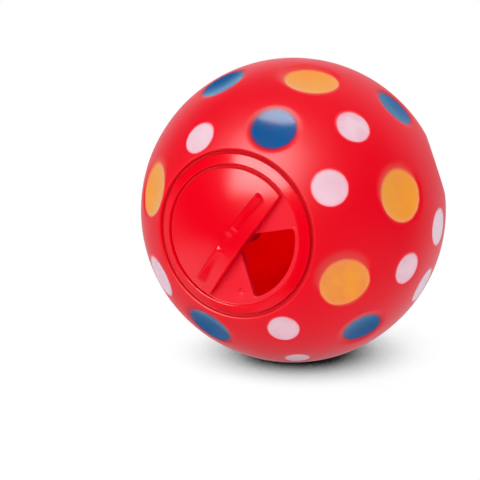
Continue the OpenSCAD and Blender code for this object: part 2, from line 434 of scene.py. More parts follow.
def arc_points(c, r, a0, a1, n):
    """Points (radius, height) of an arc round c."""
    a = np.radians(np.linspace(a0, a1, n))
    return [(c[0] + r * math.cos(t), c[1] + r * math.sin(t)) for t in a]


def rounded(corner, r, way, a0, a1, n):
    """Points of a section's corner rounded by r; way holds the signs from it to the middle."""
    return arc_points((corner[0] + way[0] * r, corner[1] + way[1] * r), r, a0, a1, n)


# The ball


def spots():
    """(kind, direction, dish radius, dish depth, paint) of every spot."""
    rng = np.random.default_rng(PAINT_SEED)
    found = []
    for kind, (d, deep, paint) in KINDS.items():
        for theta, psi, *own in PLACES[kind]:
            right, up, wide, high = rng.uniform(-1, 1, 4)
            shift = (PAINT_SHIFT * right, PAINT_SHIFT * up - PAINT_DROP)
            size = (paint + PAINT_VARY * wide, paint + PAINT_VARY * high)
            found.append((kind, direction(theta, psi), d / 2, deep, own or (*shift, *size)))
    return found


def dish_depth(angle, r, deep):
    """Depth under the ball's outline at an angle from a spot's middle; below zero past its edge."""
    edge = math.sqrt(BALL_R**2 - r**2)
    if deep == 0:
        return BALL_R - edge / np.cos(angle)
    hollow = deep - (BALL_R - edge)
    reach = (r**2 - hollow**2) / (2 * hollow)
    centre, radius = edge + reach, reach + hollow
    under = np.maximum(radius**2 - (centre * np.sin(angle)) ** 2, 0)
    return BALL_R - (centre * np.cos(angle) - np.sqrt(under))


def soft_step(depth, soft):
    """Keeps a depth where it is well above zero, and lets it run out softly."""
    return (depth + np.sqrt(depth**2 + soft**2)) / 2 - soft * SOFT_CUT


def surface(directions):
    """Distance from the ball's centre to its outside, in each direction."""
    sunk = np.zeros(directions.shape[:-1])
    for kind, middle, r, deep, _ in spots():
        angle = np.arccos(np.clip(directions @ middle, -1, 1))
        share = angle / math.asin(r / BALL_R)
        near = share < SPOT_REACH
        depth = soft_step(dish_depth(angle[near], r, deep), SPOT_SOFT[kind])
        fade = np.clip((SPOT_REACH - share[near]) / SPOT_FADE, 0, 1)
        sunk[near] = np.maximum(sunk[near], depth * fade * fade * (3 - 2 * fade))
    return BALL_R - sunk


def chamber_r(directions):
    """Distance to the wall's inside, which bulges inwards behind each dish."""
    return np.minimum(BALL_R - WALL, surface(directions) - WALL)


def surface_normal(theta, psi):
    """Normal of the ball's outside, from the slopes of surface()."""
    base = direction(theta, psi)
    down = unit(direction(theta + BALL_STEP, psi) - direction(theta - BALL_STEP, psi))
    step = math.radians(BALL_STEP)
    slopes = []
    for way in (down, np.cross(base, down)):
        ahead = base * math.cos(step) + way * math.sin(step)
        behind = base * math.cos(step) - way * math.sin(step)
        slopes.append(ahead * surface(ahead)[..., None] - behind * surface(behind)[..., None])
    return unit(np.cross(*slopes))


def local_axes(middle):
    """Right and up at a spot, as seen from outside; near the top, up is towards the front."""
    shortest = 0.2
    up = np.array([0.0, 1.0, 0.0]) - middle * middle[1]
    if np.linalg.norm(up) < shortest:
        up = np.array([0.0, 0.0, 1.0]) - middle * middle[2]
    up /= np.linalg.norm(up)
    return np.cross(up, middle), up


def spot_fields(directions):
    """What the paint needs at each point, from the nearest spot: place, as shares of the
    paint's half width and half height, with the kind; distance from the paint's middle and
    from the dish's middle, as shares of their radii; and random numbers for the spot."""
    n = len(directions)
    nearest = np.full(n, np.inf)
    place, look = np.zeros((n, 3)), np.zeros((n, 3))
    away, rim = np.full(n, NO_SPOT), np.full(n, NO_SPOT)
    rng = np.random.default_rng(LOOK_SEED)
    for kind, middle, r, _, (right_by, up_by, wide, high) in spots():
        tone = rng.uniform(0.0, 1.0, 3)
        angle = np.arccos(np.clip(directions @ middle, -1, 1))
        radius = math.asin(r / BALL_R)
        past = angle - radius
        near = past < nearest
        right, up = local_axes(middle)
        u = (directions[near] @ right * BALL_R - right_by) / wide
        v = (directions[near] @ up * BALL_R - up_by) / high
        place[near] = np.stack([u, v, np.full_like(u, KIND_NUMBERS[kind])], -1)
        away[near] = np.hypot(u, v)
        rim[near] = angle[near] / radius
        look[near] = tone
        nearest[near] = past[near]
    return place, away, rim, look


def ball_outside(b, start):
    """The outside, from an angle off the axis to the back's middle; returns its first loop."""
    thetas = start + (180 - start) * np.linspace(0, 1, DOWN + 1)[:-1]
    t, p = np.meshgrid(thetas, PSIS, indexing="ij")
    out = direction(t, p).reshape(-1, 3)
    normal = surface_normal(t.ravel(), p.ravel())
    grid = b.add(out * surface(out)[:, None], normal).reshape(t.shape)
    tip = b.add(BACK * surface(BACK)[:, None], BACK)[0]
    for above, below in zip(grid, grid[1:]):
        b.band(below, above)
    b.fan(grid[-1][::-1], tip)
    return grid[0]


def ball_mouth(b, lip, lip_middle, touch):
    """Over the lip, down to the seat and into the collar's bore; returns the last loop."""
    section = [
        *arc_points(lip_middle, LIP_ROUND, 90 - touch, 180, 9)[1:],
        (LIP_R, SEAT_Z + LIP_RING),
        *rounded((LIP_R, SEAT_Z), MOUTH_ROUND, (-1, 1), 0, -90, 4),
        *rounded((BORE_R, SEAT_Z), MOUTH_ROUND, (1, -1), 90, 180, 4),
    ]
    made = b.loops(lathe_rings(section, AROUND))
    b.band(lip, made[0])
    return made[-1]


def ball_inside(b, bore):
    """The collar's bore and end, and the chamber to the back's middle."""
    collar_end = SEAT_Z - COLLAR_LEN
    inner_r = BALL_R - WALL
    collar_r = BORE_R + COLLAR_WALL
    section = [
        (BORE_R, SEAT_Z - BORE_RING),
        *rounded((BORE_R, collar_end), MOUTH_ROUND, (1, 1), 180, 270, 4),
        *rounded((collar_r, collar_end), MOUTH_ROUND, (-1, 1), -90, 0, 4),
        (collar_r, math.sqrt(inner_r**2 - collar_r**2)),
    ]
    start = math.degrees(math.asin(collar_r / inner_r))
    rings = lathe_rings(section, AROUND)
    for theta in start + (180 - start) * np.linspace(0, 1, DOWN_INSIDE + 1)[1:-1]:
        ways = direction(np.full(AROUND, theta), PSIS)
        rings.append(ways * chamber_r(ways)[:, None])
    made = b.loops(rings, INSIDE_SLOT)
    b.band(bore, made[0], INSIDE_SLOT)
    b.fan(made[-1], b.add(BACK * chamber_r(BACK)[:, None])[0], INSIDE_SLOT)


def ball_skin(outside, within):
    """The hollow ball with its mouth, as one closed skin."""
    b = Build()
    lip_r = LIP_R + LIP_ROUND
    lip_z = math.sqrt((BALL_R - LIP_ROUND) ** 2 - lip_r**2)
    touch = math.degrees(math.atan2(lip_r, lip_z))
    lip = ball_outside(b, touch)
    painted = sum(len(p) for p in b.points)
    ball_inside(b, ball_mouth(b, lip, (lip_r, lip_z), touch))
    place, away, rim, look = spot_fields(unit(np.concatenate(b.points)))
    away[painted:] = NO_SPOT
    fields = {"spot_place": place, "spot_away": away, "spot_rim": rim, "spot_look": look}
    return b.finish("ball_skin", [outside, within], SKIN_SHARP, fields)


# The insert


def flat_line(start, end, n):
    """Flat points from start to end, without the last."""
    return [start + (end - start) * s for s in np.linspace(0, 1, n)[:-1]]


def flat_arc(middle, r, start, end, n):
    """Flat points of an arc between two angles in radians, without the last."""
    angles = np.linspace(start, end, n)[:-1]
    return [middle + r * np.array([math.cos(a), math.sin(a)]) for a in angles]


def flat_place(along, angle, over=0.0):
    """Flat place that far along an angle and that far over to its left."""
    c, s = math.cos(math.radians(angle)), math.sin(math.radians(angle))
    return np.array([along * c - over * s, along * s + over * c])


def bearing(v):
    """Angle of a flat vector, in radians."""
    return math.atan2(v[1], v[0])


def opening_corner(angle, side):
    """Middle of the rounded corner where an edge meets the outer arc, with the edge's own
    direction and the direction from it into the opening."""
    off = OPENING_INSET + OPENING_ROUND
    along = math.sqrt((OPENING_R - OPENING_ROUND) ** 2 - off**2)
    edge, over = flat_place(1, angle), flat_place(0, angle, side)
    return edge * along + over * off, edge, over


def opening_loop(grow, z):
    """The opening, joined with the stem's bore, grown by a distance into the plate."""
    inset, bore, round_r = OPENING_INSET - grow, STEM_BORE_R + grow, OPENING_ROUND + grow
    low, low_edge, low_over = opening_corner(OPENING_FROM, 1)
    high, high_edge, high_over = opening_corner(OPENING_TO, -1)
    reach = math.sqrt(bore**2 - inset**2)
    start = low_edge * reach + low_over * inset
    end = high_edge * reach + high_over * inset
    axis = np.zeros(2)
    n = OPENING_POINTS
    points = [
        *flat_line(start, low - low_over * round_r, n["edge"]),
        *flat_arc(low, round_r, bearing(-low_over), bearing(low), n["corner"]),
        *flat_arc(axis, OPENING_R + grow, bearing(low), bearing(high), n["arc"]),
        *flat_arc(high, round_r, bearing(high), bearing(-high_over), n["corner"]),
        *flat_line(high - high_over * round_r, end, n["edge"]),
        *flat_arc(axis, bore, bearing(end), bearing(start) + 2 * math.pi, n["bore"]),
    ]
    return raised(points, z)


def edge_rings(loop, z, down, edge, steps):
    """Rings of a rounded edge, from a flat face at z down into a hole."""
    rings = []
    for t in np.radians(np.linspace(90, 0, steps)):
        rings.append(loop(edge * (1 - math.cos(t)), z - down * edge * (1 - math.sin(t))))
    return rings


def blind_hole(b, at, r, deep, edge):
    """A small round pit in the plate's top with a rounded edge; returns its edge loop."""

    def loop(grow, z):
        return circle(r + grow, z, PIT_AROUND, at)

    floor_z = PLATE_TOP - deep
    rings = [
        *edge_rings(loop, PLATE_TOP, 1, edge, 4),
        loop(0, floor_z + PIT_FILLET),
        loop(-PIT_FILLET, floor_z + PIT_FLOOR),
    ]
    made = b.loops(rings)
    b.cap(made[-1])
    return made[0]


def pits_and_mark(b):
    """The detent pits and the small mark by the opening; returns their edge loops."""
    loops = []
    for i in range(PITS):
        at = flat_place(PIT_R, PIT_FROM - i * PIT_STEP)
        loops.append(blind_hole(b, at, PIT_D / 2, PIT_DEEP, PIT_EDGE))
    at = flat_place(OPENING_R + MARK_OUT, OPENING_TO, MARK_UP)
    loops.append(blind_hole(b, at, MARK_R, MARK_DEEP, MARK_EDGE))
    return loops


def cap_section():
    """Radius and height along the insert's skin, from the plate's top out and round under it."""
    out_r, in_r = FLANGE_R - FLANGE_ROUND, RECESS_R + FLANGE_ROUND
    out_c, in_c = (out_r, on_cap(out_r) - FLANGE_ROUND), (in_r, on_cap(in_r) - FLANGE_ROUND)
    out_tilt, in_tilt = (math.degrees(math.asin(r / CAP_R)) for r in (out_r, in_r))
    neck_in = NECK_R - NECK_WALL
    return [
        *rounded((RECESS_R, PLATE_TOP), RECESS_FILLET, (-1, 1), 270, 360, 6),
        *arc_points(in_c, FLANGE_ROUND, 180, 90 - in_tilt, 8),
        *[(r, on_cap(r)) for r in np.linspace(in_r, out_r, 8)[1:-1]],
        *arc_points(out_c, FLANGE_ROUND, 90 - out_tilt, 0, 8),
        *rounded((FLANGE_R, FLANGE_UNDER), HEEL_ROUND, (-1, 1), 0, -90, 4),
        *rounded((NECK_R, FLANGE_UNDER), HEEL_ROUND, (1, -1), 90, 180, 4),
        (NECK_R, NECK_END + NECK_RING),
        *rounded((NECK_R, NECK_END), NECK_ROUND, (-1, 1), 0, -90, 6),
        *rounded((neck_in, NECK_END), NECK_ROUND_IN, (1, 1), 270, 180, 5),
        (neck_in, PLATE_UNDER - PLATE_RING),
        *rounded((neck_in, PLATE_UNDER), PLATE_FILLET, (-1, -1), 0, 90, 5),
    ]


def boss_section():
    """Radius and height round the boss behind the plate, back to its start."""
    root = PLATE_UNDER + BOSS_ROOT
    return [
        (STEM_BORE_R, root),
        (BOSS_R + BOSS_SPREAD, root),
        *rounded((BOSS_R, PLATE_UNDER), BOSS_FILLET, (1, -1), 90, 180, 5)[1:],
        *rounded((BOSS_R, BOSS_END), BOSS_ROUND, (-1, 1), 0, -90, 5),
        *rounded((STEM_BORE_R, BOSS_END), STEM_BORE_ROUND, (1, 1), 270, 180, 3),
        (STEM_BORE_R, root),
    ]


def cap_body(plastic):
    """The rigid insert: flange, neck, plate with its opening and pits, and boss."""
    b = Build()
    skin = b.loops([ring[::-1] for ring in lathe_rings(cap_section(), CAP_AROUND)])
    opening = b.loops(
        [
            *edge_rings(opening_loop, PLATE_TOP, 1, OPENING_EDGE, 5),
            *edge_rings(opening_loop, PLATE_UNDER, -1, OPENING_EDGE, 5)[::-1],
        ]
    )
    b.cap(skin[0][::-1], [opening[0], *pits_and_mark(b)])
    b.cap(skin[-1][::-1], [opening[-1]], up=False)
    b.loops([ring[::-1] for ring in lathe_rings(boss_section(), BOSS_AROUND)])
    return b.finish("cap_body", [plastic], CAP_SHARP)


# The dial


def smooth_max(a, b, k):
    """The larger of two heights, rounded over where they are closer than about k."""
    return (a + b + np.sqrt((a - b) ** 2 + k * k)) / 2


def cone_z(r):
    """Height of the dial's cone, which bows a little and is rounded at its crown."""
    share = r / (DIAL_R - EDGE_SOFT)
    straight = np.sqrt(share**2 + CROWN_SOFT**2) - CROWN_SOFT
    return CROWN_Z - DIAL_RISE * ((1 - DIAL_BOW) * straight * CONE_STRETCH + DIAL_BOW * share**2)


def under_z(flat):
    """Height of the dial's underside at flat points."""
    return cone_z(np.hypot(flat[:, 0], flat[:, 1])) - DIAL_WALL


def dial_z(x, y):
    """Height of the dial's top in its own frame, where the ribs run along y."""
    hollow = DIMPLE_DEEP * np.exp(-((x + DIMPLE_OFF) ** 2 + y**2) / (2 * DIMPLE_SPREAD**2))
    cone = cone_z(np.hypot(x, y)) - hollow
    shift = np.where(y > 0, RIB_SHIFT, -RIB_SHIFT)
    inner, outer = RIB_IN + RIB_END - shift, RIB_OUT - RIB_END - shift
    along = np.clip((np.abs(y) - inner) / (outer - inner), 0, 1)
    ends = np.abs(y) - np.clip(np.abs(y), inner, outer)
    side = x + RIB_OFF
    gap = np.hypot(np.where(side < 0, RIB_LEFT, RIB_RIGHT) * side, ends)
    crest = CROWN_Z + RIB_H - RIB_SINK - RIB_DROP * along
    steep = RIB_STEEP[0] + (RIB_STEEP[1] - RIB_STEEP[0]) * along
    past = gap - RIB_CREST / 2
    fall = (past + np.sqrt(past**2 + CREST_SOFT**2)) / 2
    rib = crest + CREST_SOFT / 4 - steep * fall
    return smooth_max(cone, rib, RIB_BLEND) - RIB_BLEND**2 / 16


def dial_normal(flat):
    """Normals of the dial's top at flat points, from the slopes of dial_z()."""
    x, y = flat.T
    dx = (dial_z(x + DIAL_STEP, y) - dial_z(x - DIAL_STEP, y)) / (2 * DIAL_STEP)
    dy = (dial_z(x, y + DIAL_STEP) - dial_z(x, y - DIAL_STEP)) / (2 * DIAL_STEP)
    return unit(np.column_stack([-dx, -dy, np.ones(len(flat))]))


def d_loop(inset, corner=DIAL_CORNER):
    """The dial's outline, drawn in by a distance, as flat points."""
    r, chord, c = DIAL_R - inset, CHORD - inset, max(corner - inset, LEAST_CORNER)
    cx = chord - c
    cy = math.sqrt((r - c) ** 2 - cx**2)
    lean = math.atan2(cy, cx)
    low, high = np.array([cx, -cy]), np.array([cx, cy])
    reach = np.array([c, 0.0])
    n = DIAL_POINTS
    points = [
        *flat_arc(np.zeros(2), r, lean, 2 * math.pi - lean, n["arc"]),
        *flat_arc(low, c, -lean, 0, n["corner"]),
        *flat_line(low + reach, high + reach, n["chord"]),
        *flat_arc(high, c, 0, lean, n["corner"]),
    ]
    return np.array(points)


def dial_net(spacing, inset):
    """Points of a square net inside the dial's outline drawn in by a distance."""
    n = math.ceil(DIAL_R / spacing)
    ticks = np.arange(-n, n + 1) * spacing
    x, y = (line.ravel() for line in np.meshgrid(ticks, ticks))
    keep = (np.hypot(x, y) < DIAL_R - inset) & (x < CHORD - inset)
    return np.column_stack([x, y])[keep]


def dial_top(b):
    """The top inside its rounded edge, as a fine net; returns its rim."""
    rim = d_loop(DIAL_ROUND)
    flat = np.concatenate([rim, dial_net(TOP_NET, DIAL_ROUND + TOP_NET_GAP)])
    ids = b.add(raised(flat, dial_z(*flat.T)), dial_normal(flat))
    b.fill(flat, ids, len(rim))
    return ids[: len(rim)]


def dial_side(b, rim):
    """The rounded edge, the side and the inside of the rim; returns its last loop."""
    rim_z = dial_z(*d_loop(DIAL_ROUND).T)
    rings = []
    for t in np.radians(EDGE_ANGLES):
        edge = d_loop(DIAL_ROUND * (1 - math.sin(t)))
        rings.append(raised(edge, rim_z - DIAL_ROUND * (1 - math.cos(t))))
    for inset, height in FOOT_STEPS:
        rings.append(raised(d_loop(inset), DIAL_UNDER + height))
    within = d_loop(DIAL_WALL, DIAL_CORNER_IN)
    rings.append(raised(within, DIAL_UNDER))
    rings.append(raised(within, under_z(within)))
    made = b.loops(rings[::-1])
    b.band(made[-1], rim)
    return made[0]


def dial_under(b, loop):
    """The cone's underside, filled inside the rim's last loop."""
    rim = d_loop(DIAL_WALL, DIAL_CORNER_IN)
    net = dial_net(UNDER_NET, DIAL_WALL + UNDER_NET_GAP)
    ids = np.concatenate([loop, b.add(raised(net, under_z(net)))])
    b.fill(np.concatenate([rim, net]), ids, len(rim), up=False)


def dial_stem(b):
    """Hub and stem, closed into one turned body."""
    section = [
        (CROWN_R, CROWN_Z - DIAL_WALL + ROOT),
        *rounded((CROWN_R, HUB_Z), HUB_ROUND, (-1, 1), 0, -90, 4),
        *rounded((STEM_R, HUB_Z), STEM_FILLET, (1, -1), 90, 180, 3),
        *rounded((STEM_R, STEM_END), STEM_ROUND, (-1, 1), 0, -90, 4),
        *rounded((PILOT_R, STEM_END), PILOT_ROUND, (1, 1), 270, 180, 3),
        (PILOT_R, STEM_END + PILOT_LEN),
    ]
    made = b.loops([ring[::-1] for ring in lathe_rings(section, STEM_AROUND)])
    for loop, (_, z) in ((made[0][::-1], section[0]), (made[-1], section[-1])):
        b.fan(loop, b.add([[0, 0, z]])[0])


def dial_pip(b):
    """The detent pip under the cone, opposite the first pit when the dial is at rest."""
    at = flat_place(PIT_R, PIT_FROM + 180 - DIAL_REST)
    steps = [(PIP_STEPS[0][0], cone_z(PIT_R) - DIAL_WALL + ROOT)]
    steps += [(r, HUB_Z + height) for r, height in PIP_STEPS]
    made = b.loops([circle(r, z, PIP_AROUND, at)[::-1] for r, z in steps])
    b.cap(made[-1][::-1], up=False)
    b.cap(made[0][::-1])


def dial_cover(plastic):
    """The turning shutter: a D-shaped shallow cone with two grip ribs, hub and stem."""
    b = Build()
    rim = dial_top(b)
    dial_under(b, dial_side(b, rim))
    dial_stem(b)
    dial_pip(b)
    b.turn(DIAL_REST)
    return b.finish("dial_cover", [plastic], SKIN_SHARP)


# Materials


class Nodes:
    """Short names for the nodes of one material or world."""

    def __init__(self, owner, out="ShaderNodeOutputMaterial"):
        self.owner = owner
        owner.use_nodes = True
        self.tree = owner.node_tree
        self.tree.nodes.clear()
        self.out = self.make(out)

    def make(self, kind, inputs=(), **settings):
        """A new node with its settings, and with sockets fed by name or number."""
        node = self.tree.nodes.new(kind)
        for key, value in settings.items():
            setattr(node, key, value)
        for key, value in dict(inputs).items():
            if value is not None:
                self.feed(value, node.inputs[key])
        return node

    def link(self, a, b):
        self.tree.links.new(a, b)

    def feed(self, value, socket):
        """Links another node's output to a socket, or gives it a plain value."""
        if isinstance(value, bpy.types.NodeSocket):
            self.link(value, socket)
        elif socket.type == "RGBA":
            socket.default_value = (*value, 1)
        else:
            socket.default_value = value

    def where(self):
        """Place in the object's own frame, in metres."""
        return self.make("ShaderNodeTexCoord").outputs["Object"]

    def attribute(self, name, out):
        return self.make("ShaderNodeAttribute", attribute_name=name).outputs[out]

    def principled(self, **values):
        """The surface's shader, from plain values and outputs of other nodes."""
        named = {key.replace("_", " "): value for key, value in values.items()}
        shader = self.make("ShaderNodeBsdfPrincipled", named)
        self.link(shader.outputs["BSDF"], self.out.inputs["Surface"])

    def bump(self, height, strength, distance):
        """Normal of a surface with small bumps."""
        inputs = {"Height": height, "Strength": strength, "Distance": distance}
        return self.make("ShaderNodeBump", inputs).outputs["Normal"]

    def math(self, operation, a, b, c=None, clamp=False):
        inputs = {0: a, 1: b, 2: c}
        return self.make("ShaderNodeMath", inputs, operation=operation, use_clamp=clamp).outputs[0]

    def plus(self, a, b):
        return self.math("ADD", a, b)

    def minus(self, a, b):
        return self.math("SUBTRACT", a, b)

    def times(self, a, b):
        return self.math("MULTIPLY", a, b)

    def ramp(self, value, low, high, to_low=0.0, to_high=1.0):
        """Smooth step of a value from low to high."""
        ends = {"From Min": low, "From Max": high, "To Min": to_low, "To Max": to_high}
        inputs = {"Value": value, **ends}
        node = self.make("ShaderNodeMapRange", inputs, interpolation_type="SMOOTHSTEP")
        return node.outputs["Result"]

    def split(self, vector):
        return self.make("ShaderNodeSeparateXYZ", {0: vector}).outputs

    def mix(self, factor, a, b):
        """Mix of two colours; a colour mix has its sockets at these numbers."""
        return self.make("ShaderNodeMix", {0: factor, 6: a, 7: b}, data_type="RGBA").outputs[2]

    def blend(self, factor, a, b):
        """Mix of two shaders."""
        return self.make("ShaderNodeMixShader", {0: factor, 1: a, 2: b}).outputs[0]

    def noise(self, vector, scale, detail=2.0, rough=0.5):
        inputs = {"Vector": vector, "Scale": scale, "Detail": detail, "Roughness": rough}
        return self.make("ShaderNodeTexNoise", inputs).outputs["Fac"]


def srgb(r, g, b):
    """A colour given as 0 to 255 on screen, as linear light."""
    return tuple(
        (v / 255 / 12.92) if v <= 10.31 else ((v / 255 + 0.055) / 1.055) ** 2.4 for v in (r, g, b)
    )


# Tones and roughness drift between two values, as noise rises through a range
VINYL_RED = (0.86, 0.0004, 0.015)
VINYL_DEEP = (0.82, 0.0003, 0.013)
VINYL_ROUGH = (0.37, 0.43)
VINYL_TONE_RANGE = (0.25, 0.75)
VINYL_ROUGH_RANGE = (0.3, 0.7)
# The inside's reds are lighter than the outside's: painted light, so the chamber seen through the
# opening looks lit
INSIDE_RED_PAINTED_LIGHT = (0.995, 0.0005, 0.004)
INSIDE_DEEP_PAINTED_LIGHT = (0.985, 0.0004, 0.003)
CAP_RED = (0.89, 0.0004, 0.014)
CAP_DEEP = (0.86, 0.0003, 0.012)
CAP_ROUGH = (0.17, 0.21)
CAP_TONE_RANGE = (0.15, 0.85)
CAP_ROUGH_RANGE = (0.1, 0.9)
# The plate's red is lighter and pinker than the cap's: painted light and painted sheen against the
# shade of its recess
PLATE_RED_PAINTED_LIGHT = (0.96, 0.003, 0.024)
PLATE_MATT = 0.24
ZINC_DULL = srgb(176, 178, 184)
ZINC_BRIGHT = srgb(205, 206, 208)
ZINC_ROUGH = (0.28, 0.42)
ZINC_TONE_RANGE = (0.35, 0.7)
ZINC_ROUGH_RANGE = (0.3, 0.7)

# How far light goes under the surface, in metres, and the share of that for each colour
VINYL_DEPTH = 0.003
PAINT_DEPTH = 0.0004
INSIDE_DEPTH = 0.04
CAP_DEPTH = 0.0012
VINYL_SPREAD = (1.0, 0.12, 0.12)
CAP_SPREAD = (1.0, 0.2, 0.2)

# Fineness of the noise, per metre
CLOUDS = 22.0
GRAIN = 900.0
PEEL = 210.0
WOBBLES = 240.0
BLOTS = 90.0
SPECKS = 1500.0
FLOW = 30.0
RIPPLES = 160.0
ZINC_GRAIN = 700.0

# Bumps: their strength and their height in metres
VINYL_BUMP = (0.12, 0.0003)
GRAIN_SHARE = 0.25
CAP_BUMP = (0.05, 0.0003)

# Where the duller plate, whose red is lightened as painted light and painted sheen, sets in: radii
# and heights
PLATE_SIDE = (RECESS_R + 0.1, RECESS_R - 0.3)
PLATE_LEVEL = (PLATE_TOP + 0.25, PLATE_TOP + 0.05)

# One sprayed colour: its two tones, its look towards the edge and as a haze of overspray; how
# wide the soft edge and the haze are, as shares of the paint's radius, low and high up; how
# strong the haze is, and how much smoother than the vinyl the paint is
Paint = namedtuple("Paint", "kind thick other edge haze soft spread strength gloss")
PAINTS = (
    Paint(
        kind="yellow",
        thick=srgb(250, 166, 62), other=srgb(244, 155, 82),
        edge=srgb(254, 166, 106), haze=srgb(232, 84, 76),
        soft=(0.05, 0.16), spread=(0.06, 0.50), strength=0.75, gloss=0.08,
    ),
    Paint(
        kind="blue",
        thick=srgb(16, 96, 160), other=srgb(46, 92, 152),
        edge=srgb(80, 74, 136), haze=srgb(170, 12, 48),
        soft=(0.10, 0.16), spread=(0.10, 0.20), strength=0.85, gloss=0.22,
    ),
    Paint(
        kind="white",
        thick=srgb(242, 209, 220), other=srgb(236, 194, 209),
        edge=srgb(246, 180, 194), haze=srgb(248, 96, 112),
        soft=(0.06, 0.10), spread=(0.07, 0.12), strength=0.8, gloss=0.12,
    ),
)

# The paint's edge, in shares of its radius: how much it wobbles, where the haze is strongest,
# how much of its softness lies outside, and where its edge tone sets in and how strongly
WOBBLE = 0.05
HAZE_TOP = 0.98
OVERLAP = 0.25
EDGE_TONE = (0.80, 0.97)
EDGE_TONE_MOST = 0.75
# Thick paint stops where the mask lay, at these shares of the dish's radius
MASK = (1.01, 0.965)
# The spray came from up and a little left: their shares, the range from low to high, and the
# least distance from the middle that is told apart
SPRAY_UP = 0.94
SPRAY_RIGHT = 0.34
SPRAY_RANGE = (-0.3, 1.0)
SPRAY_LEAST = 0.1
# Ranges of the noise, and how little haze a gap in the specks keeps
BLOT_RANGE = (0.35, 0.65)
SPECK_RANGE = (0.35, 0.75)
SPECK_LEAST = 0.75
# Added to a spot's random numbers for the width of its haze and for its blots
CREEP_BASE = 0.5
TONE_BASE = 0.3


def vinyl(name, painted):
    """Soft red vinyl that lets some light through; the outside carries the sprayed spots, and
    the inside glows with the light that comes through the wall, its reds lightened as painted
    light."""
    n = Nodes(bpy.data.materials.new(name))
    where = n.where()
    cloud = n.noise(where, CLOUDS, 3.0)
    reds = (VINYL_DEEP, VINYL_RED) if painted else (INSIDE_DEEP_PAINTED_LIGHT, INSIDE_RED_PAINTED_LIGHT)
    colour = n.mix(n.ramp(cloud, *VINYL_TONE_RANGE), *reds)
    rough = n.ramp(cloud, *VINYL_ROUGH_RANGE, *VINYL_ROUGH)
    depth = INSIDE_DEPTH
    if painted:
        colour, cover, gloss = spot_paint(n, where, colour)
        rough = n.minus(rough, gloss)
        depth = n.ramp(cover, 0.0, 1.0, VINYL_DEPTH, PAINT_DEPTH)
    grain = n.times(n.noise(where, GRAIN), GRAIN_SHARE)
    peel = n.times(n.noise(where, PEEL), 1 - GRAIN_SHARE)
    n.principled(
        Base_Color=colour, Roughness=rough, Normal=n.bump(n.plus(grain, peel), *VINYL_BUMP),
        Subsurface_Weight=1.0, Subsurface_Radius=VINYL_SPREAD, Subsurface_Scale=depth,
    )
    return n.owner


def spray_side(n, u, v, away):
    """How high up in its spot a point lies, from 0 to 1, on the side that the spray came from."""
    lean = n.minus(n.times(v, SPRAY_UP), n.times(u, SPRAY_RIGHT))
    return n.ramp(n.math("DIVIDE", lean, n.math("MAXIMUM", away, SPRAY_LEAST)), *SPRAY_RANGE)


def spot_paint(n, where, colour):
    """Colours the spots. The paint ends sharply low down, where the mask touched the rim, and
    softly higher up, where spray crept under it; no thick paint lies past a dish's rim."""
    u, v, kind = n.split(n.attribute("spot_place", "Vector"))
    away = n.attribute("spot_away", "Fac")
    rim = n.attribute("spot_rim", "Fac")
    tone, creep, _ = n.split(n.attribute("spot_look", "Vector"))
    r = n.plus(away, n.times(n.minus(n.noise(where, WOBBLES, 3.0), 0.5), WOBBLE))
    high = spray_side(n, u, v, away)
    blot = n.ramp(n.noise(where, BLOTS, 3.0), *BLOT_RANGE)
    speck = n.ramp(n.noise(where, SPECKS, 2.0), *SPECK_RANGE, SPECK_LEAST, 1.0)
    cover, gloss = None, None
    for paint in PAINTS:
        is_kind = n.math("COMPARE", kind, KIND_NUMBERS[paint.kind], KIND_TOLERANCE)
        spread = n.times(n.ramp(high, 0.0, 1.0, *paint.spread), n.plus(creep, CREEP_BASE))
        haze = n.ramp(r, n.plus(spread, 1.0), HAZE_TOP, 0.0, paint.strength)
        colour = n.mix(n.times(n.times(haze, is_kind), speck), colour, paint.haze)
        soft = n.ramp(high, 0.0, 1.0, *paint.soft)
        stop = n.plus(n.times(soft, OVERLAP), 1.0)
        thick = n.times(n.ramp(r, stop, n.minus(1.0, soft)), is_kind)
        if paint.kind != "white":
            thick = n.times(thick, n.ramp(rim, *MASK))
        middle = n.mix(n.times(blot, n.plus(tone, TONE_BASE)), paint.thick, paint.other)
        body = n.mix(n.ramp(r, *EDGE_TONE, 0.0, EDGE_TONE_MOST), middle, paint.edge)
        colour = n.mix(thick, colour, body)
        shine = n.times(thick, paint.gloss)
        cover = thick if cover is None else n.math("MAXIMUM", cover, thick)
        gloss = shine if gloss is None else n.math("MAXIMUM", gloss, shine)
    return colour, cover, gloss


def plastic():
    """Smooth moulded red plastic of the insert and the dial; the sunk plate is duller, and its red
    is lightened and made pinker as painted light and painted sheen.
    """
    n = Nodes(bpy.data.materials.new("insert_plastic"))
    where = n.where()
    flow = n.noise(where, FLOW, 2.0)
    x, y, z = n.split(where)
    up = n.minus(z, STAND_H * MM)
    across = n.plus(n.times(x, x), n.times(up, up))
    within = n.ramp(across, *[(r * MM) ** 2 for r in PLATE_SIDE])
    sunk = n.ramp(y, *[-height * MM for height in PLATE_LEVEL])
    plate = n.times(sunk, within)
    colour = n.mix(n.ramp(flow, *CAP_TONE_RANGE), CAP_DEEP, CAP_RED)
    rough = n.ramp(flow, *CAP_ROUGH_RANGE, *CAP_ROUGH)
    # The plate's lighter, pinker red is painted light and painted sheen against its recess's shade;
    # its higher roughness is real
    n.principled(
        Base_Color=n.mix(plate, colour, PLATE_RED_PAINTED_LIGHT),
        Roughness=n.plus(rough, n.times(plate, PLATE_MATT)),
        Normal=n.bump(n.noise(where, RIPPLES), *CAP_BUMP),
        Subsurface_Weight=1.0, Subsurface_Radius=CAP_SPREAD, Subsurface_Scale=CAP_DEPTH,
    )
    return n.owner


